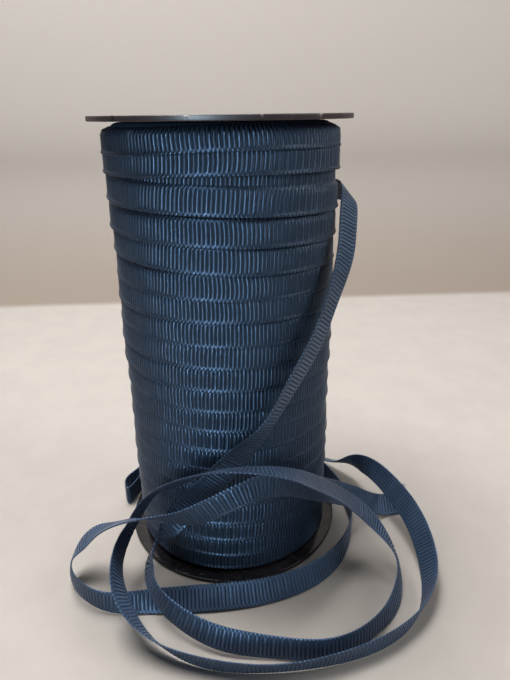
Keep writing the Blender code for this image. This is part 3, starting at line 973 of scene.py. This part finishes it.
class SPOOL_OT_loose_ribbon(bpy.types.Operator):
    """Make the loose end that hangs down the front and lies in loops round the foot"""

    bl_idname = "ribbon_spool.loose_ribbon"
    bl_label = "Loose Ribbon"

    # How far from the middle the threads are rooted, as a share of the ribbon's width.
    ROOT_SHARE = 0.49
    FRAYED_COUNT, FRAYED_RADIUS = 34, 0.00005
    SNAGGED_COUNT, SNAGGED_RADIUS = 9, 0.000045
    SNAG_LENGTH = 0.0011
    # How far the snag lies before its row of the route.
    SNAG_BEFORE = 0.0035
    # The lowest that a drooping thread's middle lies over the floor.
    THREAD_REST = 0.00012

    def execute(self, context):
        sizes = context.scene.ribbon_spool.ribbon
        cloth = shared_material("loose grosgrain ribbon painted lighter", painted_lighter_loose_material, context)
        line = LooseLine(sizes.width)
        strip = loose_strip("loose_ribbon_end", line, sizes)
        finish_piece(strip, cloth, None, ("loose_ribbon",))
        fray = thread_tubes("frayed_threads", self.cut_end_threads(line, sizes), self.FRAYED_RADIUS)
        finish_piece(fray, cloth)
        snag = thread_tubes("snagged_threads", self.snagged_threads(line, sizes), self.SNAGGED_RADIUS)
        finish_piece(snag, cloth)
        path = line.frames(np.linspace(0.0, line.length, 480))[0]
        return {"FINISHED"}

    def cut_end_threads(self, line, sizes):
        """Threads that stick out of the cut end, fanned a little and drooping."""
        chance = random.Random(11)
        centres, across, face = line.frames(np.array([line.length - 0.0004, line.length - 0.0001]))
        along = unit(centres[1] - centres[0])
        threads = []
        for k in range(self.FRAYED_COUNT):
            place = (k + 0.5) / self.FRAYED_COUNT * 2.0 - 1.0
            root = centres[0] + across[0] * place * sizes.width * self.ROOT_SHARE
            root = root + face[0] * chance.uniform(-1e-4, 1e-4)
            length = sizes.fray_length * chance.uniform(0.25, 1.0) * (1.0 - 0.35 * abs(place))
            heading = along + across[0] * chance.uniform(-0.35, 0.35) + face[0] * chance.uniform(-0.45, 0.45)
            steps = np.linspace(0.0, 1.0, 6)[:, None]
            curl = across[0] * chance.uniform(-0.4, 0.4) + face[0] * chance.uniform(-0.4, 0.4)
            path = root + length * (steps * heading + steps**2 * curl * 0.6)
            path[:, 2] = np.maximum(path[:, 2], self.THREAD_REST)
            threads.append(path)
        return threads

    def snagged_threads(self, line, sizes):
        """A few short threads that stand out of the upper selvedge where the ribbon has snagged."""
        chance = random.Random(5)
        station = line.stations[len(LEAD_TURNS) + SNAG_ROW]
        start = float(np.interp(station, line.fine, line.travel)) - self.SNAG_BEFORE
        threads = []
        for _ in range(self.SNAGGED_COUNT):
            spot = start + chance.uniform(-0.0007, 0.0007)
            centres, across, face = line.frames(np.array([spot, spot + 0.0001]))
            along = unit(centres[1] - centres[0])
            root = centres[0] + across[0] * sizes.width * self.ROOT_SHARE
            heading = across[0] + along * chance.uniform(-0.7, 0.7) + face[0] * chance.uniform(-0.5, 0.7)
            steps = np.linspace(0.0, 1.0, 6)[:, None]
            curl = along * chance.uniform(-0.6, 0.6)
            length = self.SNAG_LENGTH * chance.uniform(0.4, 1.0)
            threads.append(root + length * (steps * heading + steps**2 * curl))
        return threads


class SPOOL_OT_stage(bpy.types.Operator):
    """Set the pale floor and backdrop, the soft lights and the camera"""

    bl_idname = "ribbon_spool.stage"
    bl_label = "Stage"

    # The panel that shows only as a gleam on the ribs and adds no light of its own.
    GLEAM = "front left panel"
    # Name, place, point aimed at, width, height, power and colour.
    PANELS = (
        ("overhead panel", (-0.12, 0.08, 0.62), (0.0, -0.02, 0.03), 0.40, 0.30, 8.0, (1.0, 0.985, 0.965)),
        (GLEAM, (-0.20, -0.61, 0.20), (0.0, 0.0, 0.06), 0.07, 0.36, 9.0, (0.64, 0.82, 1.0)),
        ("right panel", (0.55, -0.12, 0.45), (0.0, 0.0, 0.05), 0.30, 0.30, 2.2, (1.0, 0.98, 0.95)),
    )
    CAMERA_PLACE = (0.0, -0.1390, 0.1154)
    CAMERA_PAN = math.radians(-3.03)
    CAMERA_TILT = math.radians(90.0 - 22.71)
    CAMERA_ROLL = math.radians(-0.70)
    LENS = 28.67
    SENSOR_WIDTH = 36.0
    ROOM_COLOUR = (0.90, 0.93, 1.0, 1.0)
    ROOM_STRENGTH = 0.06

    def execute(self, context):
        pale = shared_material("pale floor", table_material, context)
        self.sweep(pale)
        self.lights()
        self.camera(context)
        self.surroundings(context)
        return {"FINISHED"}

    @staticmethod
    def sweep(material):
        """A floor that curves up into a backdrop behind the spool, as one sheet."""
        cove_radius = 0.085
        back = 0.285
        height = 0.50
        half_width = 2.0
        bend = [
            (back + cove_radius * (math.sin(a) - 1.0), cove_radius * (1.0 - math.cos(a)))
            for a in np.linspace(0.0, math.pi / 2.0, 17)
        ]
        outline = [(-1.6, 0.0), (-0.3, 0.0), (0.1, 0.0)] + bend + [(back, height)]
        points = [(x, y, z) for y, z in outline for x in (-half_width, half_width)]
        faces = [(2 * i, 2 * i + 1, 2 * i + 3, 2 * i + 2) for i in range(len(outline) - 1)]
        floor = mesh_object("floor_sweep", np.array(points), faces)
        floor.data.materials.append(material)
        for polygon in floor.data.polygons:
            polygon.use_smooth = True

    def lights(self):
        """Soft panels: the main one overhead, a weaker one at the right, and the gleam at the front."""
        for name, place, aim, width, height, power, colour in self.PANELS:
            light = bpy.data.lights.new(name, "AREA")
            light.shape = "RECTANGLE"
            light.size, light.size_y = width, height
            light.energy, light.color = power, colour
            lamp = bpy.data.objects.new(name, light)
            lamp.visible_diffuse = name != self.GLEAM
            lamp.location = place
            towards = Vector(aim) - Vector(place)
            lamp.rotation_euler = towards.to_track_quat("-Z", "Y").to_euler()
            bpy.context.collection.objects.link(lamp)

    def camera(self, context):
        """The camera stands level with the top flange and looks down across the front."""
        data = bpy.data.cameras.new("camera")
        data.sensor_width = self.SENSOR_WIDTH
        data.lens = self.LENS
        data.clip_start = 0.005
        camera = bpy.data.objects.new("camera", data)
        camera.rotation_mode = "XYZ"
        camera.location = self.CAMERA_PLACE
        pan = Matrix.Rotation(self.CAMERA_PAN, 4, "Z")
        tilt = Matrix.Rotation(self.CAMERA_TILT, 4, "X")
        roll = Matrix.Rotation(self.CAMERA_ROLL, 4, "Z")
        camera.rotation_euler = (pan @ tilt @ roll).to_euler("XYZ")
        bpy.context.collection.objects.link(camera)
        context.scene.camera = camera

    def surroundings(self, context):
        """A dim pale room all round, for the ambient light and faint reflections."""
        world = bpy.data.worlds.new("pale room")
        world.use_nodes = True
        background = world.node_tree.nodes["Background"]
        background.inputs["Color"].default_value = self.ROOM_COLOUR
        background.inputs["Strength"].default_value = self.ROOM_STRENGTH
        context.scene.world = world
        context.scene.view_settings.view_transform = "Standard"


class SPOOL_PT_panel(bpy.types.Panel):
    """The spool's settings, and a button for each piece"""

    bl_label = "Ribbon Spool"
    bl_idname = "SPOOL_PT_panel"
    bl_space_type = "VIEW_3D"
    bl_region_type = "UI"
    bl_category = "Ribbon Spool"

    def draw(self, context):
        settings = context.scene.ribbon_spool
        for group in (settings.ribbon, settings.spool, settings.colours):
            box = self.layout.box()
            for name in group.__annotations__:
                box.prop(group, name)
        for operator in OPERATORS:
            self.layout.operator(operator.bl_idname)


OPERATORS = (SPOOL_OT_flanges, SPOOL_OT_wound_ribbon, SPOOL_OT_loose_ribbon, SPOOL_OT_stage)
CLASSES = (RibbonSizes, SpoolSizes, FinishColours, RibbonSpoolSettings, *OPERATORS, SPOOL_PT_panel)


def register():
    for cls in CLASSES:
        bpy.utils.register_class(cls)
    bpy.types.Scene.ribbon_spool = bpy.props.PointerProperty(type=RibbonSpoolSettings)


def unregister():
    del bpy.types.Scene.ribbon_spool
    for cls in reversed(CLASSES):
        bpy.utils.unregister_class(cls)


def main():
    register()
    bpy.ops.ribbon_spool.flanges()
    bpy.ops.ribbon_spool.wound_ribbon()
    bpy.ops.ribbon_spool.loose_ribbon()
    bpy.ops.ribbon_spool.stage()


if __name__ == "__main__":
    main()
